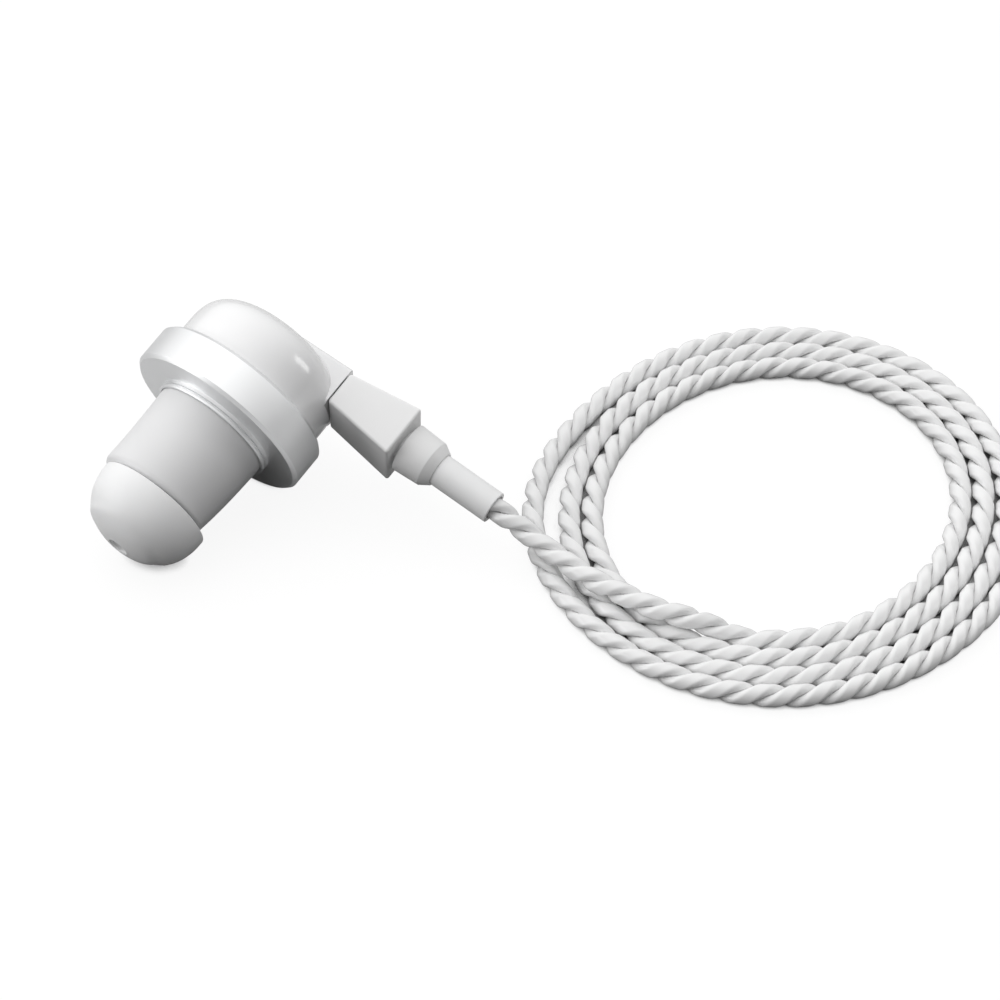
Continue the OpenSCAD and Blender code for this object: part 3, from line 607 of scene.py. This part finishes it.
def make_barrel(side):
    edge, wall = 0.7, 0.9
    mesh_r, mesh_depth, bore_r, driver_r = 2.2, 0.3, 1.8, 5.0
    flange_r, flange_back = RING_BORE_R - SLIP, RING_FACE + FLANGE_THICKNESS
    throat = BARREL_LENGTH - 1.4
    edge_start = BARREL_LENGTH - edge
    end_r = barrel_r(edge_start)
    taper = [(barrel_r(z), z) for z in np.linspace(0, edge_start, 16)]
    shoulder = [(end_r - edge * (1 - math.cos(a)), edge_start + edge * math.sin(a))
                for a in np.linspace(0.1, math.pi / 2, 10)]
    outline = [(BARREL_ROOT_R, -RING_FACE)] + taper + shoulder[:-1] + fillet([
        shoulder[-1],
        (NOZZLE_R, BARREL_LENGTH, 0.15),
        (NOZZLE_R, NOZZLE_END - 0.25, 0.1),
        (NOZZLE_R - 0.25, NOZZLE_END, 0.05),
        (mesh_r, NOZZLE_END),
        (mesh_r, NOZZLE_END - mesh_depth),
        (bore_r, NOZZLE_END - mesh_depth),
        (bore_r, throat),
        (BARREL_END_R - wall, throat - 2.4),
        (BARREL_ROOT_R - 1.3, -RING_FACE),
        (driver_r - 0.65, -flange_back),
        (driver_r + SLIP, -flange_back),
        (driver_r + SLIP, -flange_back - 1),
        (driver_r + 0.6, -flange_back - 1),
        (driver_r + 0.6, -flange_back),
        (flange_r, -flange_back),
        (flange_r, -RING_FACE)])
    verts, faces = revolve(outline)
    verts = np.array(verts, float)
    outer = np.clip(np.hypot(verts[:, 0], verts[:, 1]) - NOZZLE_R - 0.5, 0, 1)
    verts[:, 0] -= BARREL_LEAN * outer * np.clip(verts[:, 2] / BARREL_LENGTH, 0, 1) ** 3
    obj = ear_piece(f"{side}_barrel_moulding", side, verts, faces)
    dress(obj, [barrel_plastic], f"{side}_earpiece", "barrel_plastic", f"{side}_front_barrel")


def squared_quarter(r, h, power, r_min=0.0):
    """A quarter of a squared-off ellipse, from (r, 0) up to where it is r_min from the axis."""
    end = math.acos((r_min / r) ** (power / 2))
    return [(r * math.cos(a) ** (2 / power), h * math.sin(a) ** (2 / power))
            for a in np.linspace(0, end, 28)]


TIP_LENGTH = 5.2
# The soft umbrella is pressed a little to one side, while its stem stays on the nozzle
TIP_SWAY = 0.35
TIP_SWAY_R = 3.3


def make_ear_tip(side):
    power, tip_r, wall = 2.3, 5.4, 0.55
    hole_r, hole_edge, lip_r = 0.85, 0.2, 0.06
    front = TIP_RIM + TIP_LENGTH
    dome_start = TIP_RIM + 0.1
    dome = front - dome_start
    bore_r = NOZZLE_R + SLIP
    stem_r = bore_r + 0.8
    stem_back = TIP_RIM + SLIP
    nose_back = NOZZLE_END + 0.15
    outside = [(r, z + dome_start) for r, z in
               squared_quarter(tip_r, dome, power, hole_r + hole_edge)]
    inside = [(r, z + dome_start) for r, z in
              squared_quarter(tip_r - wall, dome - wall, power, stem_r)]
    rolled = [(hole_r + hole_edge * (1 - math.sin(a)),
               front - hole_edge + (hole_edge - 0.02) * math.cos(a))
              for a in np.linspace(0.25, math.pi / 2, 5)]
    lip = [(tip_r - lip_r + lip_r * math.sin(a), TIP_RIM + lip_r - lip_r * math.cos(a))
           for a in np.linspace(0, math.pi / 2, 4)]
    bore = [(hole_r, nose_back), (bore_r, nose_back), (bore_r, stem_back), (stem_r, stem_back)]
    verts, faces = revolve([(tip_r - wall, TIP_RIM)] + lip + outside + rolled + bore + inside[::-1])
    verts = np.array(verts, float)
    from_axis = np.hypot(verts[:, 0], verts[:, 1])
    verts[:, 0] += TIP_SWAY * np.clip(np.maximum(from_axis - TIP_SWAY_R, verts[:, 2] - nose_back), 0, 1)
    obj = ear_piece(f"{side}_silicone_tip", side, verts, faces, 40)
    dress(obj, [tip_silicone], f"{side}_tip", "tip_silicone", f"{side}_ear_tip")


SHELL_R = 7.7
SHELL_DEPTH = 6.65
SHELL_STRAIGHT = 1.8
SHELL_WALL = 1.1
SHELL_POWER = 3.2
BOSS_WIDTH = 5.9
BOSS_THICKNESS = 4.0
BOSS_TILT = math.radians(1.5)
# How far the boss's middle lies behind the plane of the pins
BOSS_BACK = 0.1


def rounded_block(x0, x1, size0, size1, radius, segments=6):
    """A block from x0 to x1 with round edges, whose ends measure size0 and size1.

    Each size is (thickness, width).
    """
    mesh = bmesh.new()
    corners = []
    for x, (thick, wide) in ((x0, size0), (x1, size1)):
        for sy, sz in ((-1, -1), (1, -1), (1, 1), (-1, 1)):
            corners.append(mesh.verts.new((x, sy * wide / 2, sz * thick / 2 - PLUG_BACK)))
    for face in ((3, 2, 1, 0), (4, 5, 6, 7), (0, 1, 5, 4), (1, 2, 6, 5), (2, 3, 7, 6), (3, 0, 4, 7)):
        mesh.faces.new([corners[i] for i in face])
    bmesh.ops.recalc_face_normals(mesh, faces=mesh.faces)
    bmesh.ops.bevel(mesh, geom=list(mesh.edges), offset=radius, segments=segments, profile=0.5,
                    affect="EDGES")
    mesh.verts.index_update()
    verts = [tuple(v.co) for v in mesh.verts]
    faces = [[v.index for v in f.verts] for f in mesh.faces]
    mesh.free()
    return verts, faces


def tilted(verts, faces):
    """The socket boss's points, turned so that it sinks into the shell towards its middle."""
    v = np.asarray(verts, float) - (BOSS_REACH, 0, -PLUG_BACK)
    c, s = math.cos(BOSS_TILT), math.sin(BOSS_TILT)
    turned = np.column_stack((c * v[:, 0] + s * v[:, 2], v[:, 1], c * v[:, 2] - s * v[:, 0]))
    return turned + (BOSS_REACH, 0, -PLUG_BACK), faces


def apply_modifiers(obj):
    """Turns what a piece's modifiers make into its own mesh."""
    bpy.context.view_layer.update()
    made = obj.evaluated_get(bpy.context.evaluated_depsgraph_get())
    result = bpy.data.meshes.new_from_object(made)
    obj.modifiers.clear()
    obj.data = result


def boolean(obj, other, operation):
    """Joins or cuts a mesh with another, which is used up."""
    modifier = obj.modifiers.new("boolean", "BOOLEAN")
    modifier.operation = operation
    modifier.solver = "EXACT"
    modifier.object = other
    apply_modifiers(obj)
    bpy.data.objects.remove(other)


def even_shading(obj):
    """Lets the large faces of a cut piece set the shading along its edges."""
    modifier = obj.modifiers.new("shading", "WEIGHTED_NORMAL")
    modifier.keep_sharp = True
    apply_modifiers(obj)


def shell_outline(radius, depth, front, centre_z):
    """A closed outline of the shell, from its front points round its back to the axis."""
    bottom = [(r, -RING_WIDTH - SHELL_STRAIGHT - z) for r, z in
              squared_quarter(radius, depth - SHELL_STRAIGHT, SHELL_POWER)]
    return front + bottom[:-1] + [(0, bottom[-1][1]), (0, centre_z)]


def make_shell(side):
    spigot_r, front_z = RING_BORE_R - SLIP, -RING_FACE - FLANGE_THICKNESS - SLIP
    front = [(spigot_r, front_z), (spigot_r, -RING_WIDTH), (SHELL_R, -RING_WIDTH)]
    outside = shell_outline(SHELL_R, SHELL_DEPTH, front, front_z)
    cavity_r = SHELL_R - SHELL_WALL
    inside = shell_outline(cavity_r, SHELL_DEPTH - SHELL_WALL, [(cavity_r, 0)], 0)
    obj = ear_piece(f"{side}_shell_moulding", side, *revolve(outside))
    boss_size, boss_edge = (BOSS_THICKNESS, BOSS_WIDTH), 0.45
    boss_verts, boss_faces = tilted(*rounded_block(0, BOSS_REACH + 1, boss_size, boss_size, boss_edge))
    boss = ear_piece("boss", side, boss_verts - (0, 0, BOSS_BACK), boss_faces)
    boolean(obj, boss, "UNION")
    # The boss ends in a flat face, square to the pins, that the plug meets
    cut_size, cut_edge = (BOSS_THICKNESS + 1.1, BOSS_WIDTH + 2), 0.02
    face_verts, face_faces = rounded_block(
        BOSS_REACH, BOSS_REACH + 2, cut_size, cut_size, cut_edge, segments=1)
    face = ear_piece("face", side, np.asarray(face_verts) - (0, 0, 0.5), face_faces)
    boolean(obj, face, "DIFFERENCE")
    boolean(obj, ear_piece("cavity", side, *revolve(inside)), "DIFFERENCE")
    # The slot that the two-pin insert fills
    slot_size, slot_depth = (2.1, 5), 4.3
    slot = ear_piece("slot", side, *rounded_block(
        BOSS_REACH - slot_depth, BOSS_REACH + 1, slot_size, slot_size, cut_edge, segments=1))
    boolean(obj, slot, "DIFFERENCE")
    obj.data.polygons.foreach_set("use_smooth", [True] * len(obj.data.polygons))
    obj.data.set_sharp_from_angle(angle=math.radians(28))
    even_shading(obj)
    dress(obj, [shell_gloss], f"{side}_earpiece", "shell_gloss", f"{side}_back_shell")


def make_plug(side):
    front_size, rear_size, edge_r = (3.3, 6.0), (5.15, 6.7), 0.28
    block = rounded_block(PLUG_FRONT, PLUG_REAR + 0.15, front_size, rear_size, edge_r)
    obj = ear_piece(f"{side}_plug_moulding", side, *block, smooth_angle=50)
    dress(obj, [plug_plastic], "root", "plug_plastic", f"{side}_plug_body")
    return obj


def make_collar(side):
    neck_r, root_r, end_r, bevel_r, seat_r = 1.5, 2.35, 2.2, 1.65, 1.5
    neck_end = PLUG_REAR + 0.5
    outline = fillet([
        (0, PLUG_REAR),
        (neck_r, PLUG_REAR),
        (neck_r, neck_end),
        (root_r, neck_end, 0.06),
        (end_r, PLUG_REAR + COLLAR_LENGTH, 0.12),
        (bevel_r, COLLAR_END, 0.08),
        (seat_r, COLLAR_END),
        (seat_r, SLEEVE_START),
        (0, SLEEVE_START)])
    verts, faces = revolve(outline, 96)
    obj = ear_piece(f"{side}_collar_moulding", side, along_plug(verts), faces)
    dress(obj, [collar_plastic_painted_shade], "root", "plug_plastic", f"{side}_plug_collar")
    return obj


def make_sleeve(side):
    outer_r, bore_r = 1.5, 1.2
    outline = fillet([
        (bore_r, SLEEVE_START),
        (outer_r, SLEEVE_START),
        (outer_r, SLEEVE_END, 0.08),
        (bore_r, SLEEVE_END, 0.05)])
    verts, faces = revolve(outline, 96)
    obj = ear_piece(f"{side}_sleeve_tube", side, along_plug(verts), faces)
    dress(obj, [sleeve_plastic], "root", "sleeve_plastic", f"{side}_plug_sleeve")
    return obj


plug_pieces = {}
for side in SIDES:
    make_ring(side)
    make_barrel(side)
    make_ear_tip(side)
    make_shell(side)
    plug_pieces[side] = [make_plug(side), make_collar(side), make_sleeve(side)]


# ---------- Splitter and jack plug ----------

def placed(name, outline, origin, turn):
    """A turned piece drawn round +Z, placed in the set."""
    verts, faces = revolve(outline, 96)
    faces = turned_outward(verts, faces)
    verts = np.asarray(verts, float) @ np.array(turn)[:3, :3].T + np.array(origin)
    return make_object(name, verts, faces, smooth_angle=32)


TO_Y = Matrix.Rotation(-math.pi / 2, 4, "X")
TO_X = Matrix.Rotation(math.pi / 2, 4, "Y")


def make_splitter():
    # It lies on the surface, so its radius is its axis's height
    r, end_r = SPLITTER.z, 0.8
    outline = fillet([(0, 0), (r, 0, end_r), (r, SPLITTER_LENGTH, end_r), (0, SPLITTER_LENGTH)], 8)
    obj = placed("splitter_moulding", outline, SPLITTER, TO_Y)
    return dress(obj, [plug_plastic], "root", "plug_plastic", "splitter")


def make_jack():
    relief_length, relief_start_r, relief_end_r = 8, 1.5, 2.2
    relief = placed("jack_relief_moulding", fillet([
        (0, 0),
        (relief_start_r, 0, 0.15),
        (relief_end_r, relief_length),
        (0, relief_length)]), JACK, TO_X)
    dress(relief, [sleeve_plastic], "root", "sleeve_plastic", "jack_relief")
    start, end = relief_length, relief_length + 17
    handle_r, rim_r, chamfer = 3, 2.6, 0.4
    handle = placed("jack_handle_turned", fillet([
        (0, start),
        (rim_r, start, 0.05),
        (handle_r, start + chamfer, 0.1),
        (handle_r, end - chamfer, 0.1),
        (rim_r, end, 0.05),
        (0, end)]), JACK, TO_X)
    dress(handle, [ring_satin], "root", "ring_aluminium", "jack_handle")
    return [relief, handle]


splitter = make_splitter()
jack_pieces = make_jack() + [nodes[f"jack_{part}"] for part in ("sleeve", "ring", "tip", "insulators")]


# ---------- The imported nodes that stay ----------

CARRIED = {
    "socket_insert": insert_plastic, "socket_contacts": contact_gold, "nozzle_mesh": mesh_steel,
    "driver_basket": driver_steel, "diaphragm": diaphragm_film, "voice_coil": coil_copper,
    "magnet": magnet_alloy, "magnet_yoke": driver_steel, "terminal_board": board_green,
    "driver_wires": wire_enamel, "plug_pins": contact_gold}


def finish_node(name, material):
    mesh = nodes[name].data
    mesh.materials.clear()
    mesh.materials.append(material)


for side in SIDES:
    for part, material in CARRIED.items():
        finish_node(f"{side}_{part}", material)
for part in ("sleeve", "ring", "tip"):
    finish_node(f"jack_{part}", contact_gold)
finish_node("jack_insulators", insert_plastic)


# ---------- The cords ----------

def declare_cord(obj, replaced):
    """Gives a cord its finish and its body, and hides the imported nodes that it stands for."""
    dress(obj, [cord_jacket], "root", "cord_jacket", *replaced)


for side, cord, path in (("left", left_cord, left_path), ("right", right_cord, right_path)):
    fittings = plug_pieces[side] + [nodes[f"{side}_plug_pins"]]
    if side == "left":
        fittings.append(splitter)
    declare_cord(cord,
                 [f"{side}_ear_lead", f"{side}_lead_coil", f"{side}_lead_tail"])
declare_cord(main_cord,
             ["main_lead", "main_coil", "main_tail"])


# ---------- Floor and light ----------

FLOOR_SIZE = 6
FLOOR_GLOW = 0.9
FLOOR_SEEN = 0.12
FLOOR_MIRRORED = 0.65
FLOOR_BOUNCE = 0.07
SKY_MIDDLE = Vector((-0.19, 0.33, 0.92)).normalized()
SKY_STRENGTH = 1.59
# The sky is black where its direction's cosine to the middle is this low
SKY_EDGE = -0.9
SKY_FALL = 2.8
SKY_FALL_MIRRORED = 1.4


def make_floor():
    """A pale floor that shows the object's shadow.

    It is white in the view, and pale in reflections. Its glow in the view and its colour in reflections
    are darkened by ambient occlusion, as painted shade in the gaps and close to the object.
    """
    half = FLOOR_SIZE / 2
    corners = [(-half, -half, 0), (half, -half, 0), (half, half, 0), (-half, half, 0)]
    floor = make_object("floor", corners, [(0, 1, 2, 3)], scale=1)
    floor.location.z = -0.02 * MM
    material = bpy.data.materials.new("floor")
    material.use_nodes = True
    tree = material.node_tree
    tree.nodes.remove(tree.nodes["Principled BSDF"])
    rays = tree.nodes.new("ShaderNodeLightPath")

    def diffuse(grey):
        node = tree.nodes.new("ShaderNodeBsdfDiffuse")
        if isinstance(grey, bpy.types.NodeSocket):
            tree.links.new(grey, node.inputs["Color"])
        else:
            node.inputs["Color"].default_value = (grey, grey, grey, 1)
        return node.outputs[0]

    def openness(distance, closed, opened, low, high):
        """A value from low to high, by how open the sky over the floor is within a distance."""
        above = tree.nodes.new("ShaderNodeAmbientOcclusion")
        above.inputs["Distance"].default_value = distance * MM
        return rescaled(tree, above.outputs["AO"], closed, opened, low, high)

    def choose(ray, otherwise, seen):
        node = tree.nodes.new("ShaderNodeMixShader")
        tree.links.new(rays.outputs[ray], node.inputs[0])
        tree.links.new(otherwise, node.inputs[1])
        tree.links.new(seen, node.inputs[2])
        return node.outputs[0]

    # Painted shade: the floor's glow is dimmed by ambient occlusion, so that it stays dark in the
    # narrow gaps between the cord's turns
    glow = tree.nodes.new("ShaderNodeEmission")
    in_view = openness(2.5, closed=0.1, opened=0.4, low=0, high=FLOOR_GLOW)
    tree.links.new(in_view, glow.inputs["Strength"])
    white = tree.nodes.new("ShaderNodeAddShader")
    tree.links.new(glow.outputs[0], white.inputs[0])
    tree.links.new(diffuse(FLOOR_SEEN), white.inputs[1])
    # Painted shade: in reflections the floor's colour darkens where ambient occlusion finds the object
    # within 20 mm
    mirrored = diffuse(openness(20, closed=0.2, opened=0.75, low=0.12, high=FLOOR_MIRRORED))
    shader = choose("Is Glossy Ray", diffuse(FLOOR_BOUNCE), mirrored)
    shader = choose("Is Transmission Ray", shader, white.outputs[0])
    shader = choose("Is Camera Ray", shader, white.outputs[0])
    tree.links.new(shader, tree.nodes["Material Output"].inputs["Surface"])
    floor.data.materials.append(material)


def make_world():
    """One broad light overhead that fades evenly down to the horizon."""
    world = bpy.data.worlds.new("studio")
    bpy.context.scene.world = world
    world.use_nodes = True
    tree = world.node_tree
    coords = tree.nodes.new("ShaderNodeTexCoord")
    facing = tree.nodes.new("ShaderNodeVectorMath")
    facing.operation = "DOT_PRODUCT"
    facing.inputs[1].default_value = SKY_MIDDLE
    tree.links.new(coords.outputs["Generated"], facing.inputs[0])
    near = rescaled(tree, facing.outputs["Value"], SKY_EDGE, 1)
    rays = tree.nodes.new("ShaderNodeLightPath")

    def math_node(operation, first, second):
        node = tree.nodes.new("ShaderNodeMath")
        node.operation = operation
        for socket, value in zip(node.inputs, (first, second)):
            if isinstance(value, bpy.types.NodeSocket):
                tree.links.new(value, socket)
            else:
                socket.default_value = value
        return node.outputs[0]

    # The backdrop that shows in metal and gloss is paler low down than the light is
    eased = math_node("MULTIPLY", rays.outputs["Is Glossy Ray"], SKY_FALL - SKY_FALL_MIRRORED)
    fall = math_node("SUBTRACT", SKY_FALL, eased)
    level = math_node("MULTIPLY", math_node("POWER", near, fall), SKY_STRENGTH)
    background = tree.nodes["Background"]
    tree.links.new(level, background.inputs["Strength"])
    background.inputs["Color"].default_value = (1, 1, 1, 1)


LAMP_DISTANCE = 0.9


def softbox(name, toward, width, height, power):
    """A rectangular lamp that faces the middle of the view."""
    data = bpy.data.lights.new(name, "AREA")
    data.shape = "RECTANGLE"
    data.size = width
    data.size_y = height
    data.energy = power
    lamp = bpy.data.objects.new(name, data)
    way = Vector(toward).normalized()
    lamp.location = VIEW_TARGET + way * LAMP_DISTANCE
    lamp.rotation_mode = "QUATERNION"
    lamp.rotation_quaternion = way.to_track_quat("Z", "Y")
    bpy.context.scene.collection.objects.link(lamp)


make_floor()
make_world()
softbox("key", (-0.95, -0.17, 0.2), width=0.6, height=0.6, power=2.85)
softbox("side", (0.9, -0.05, 0.42), width=0.2, height=0.38, power=0.5)
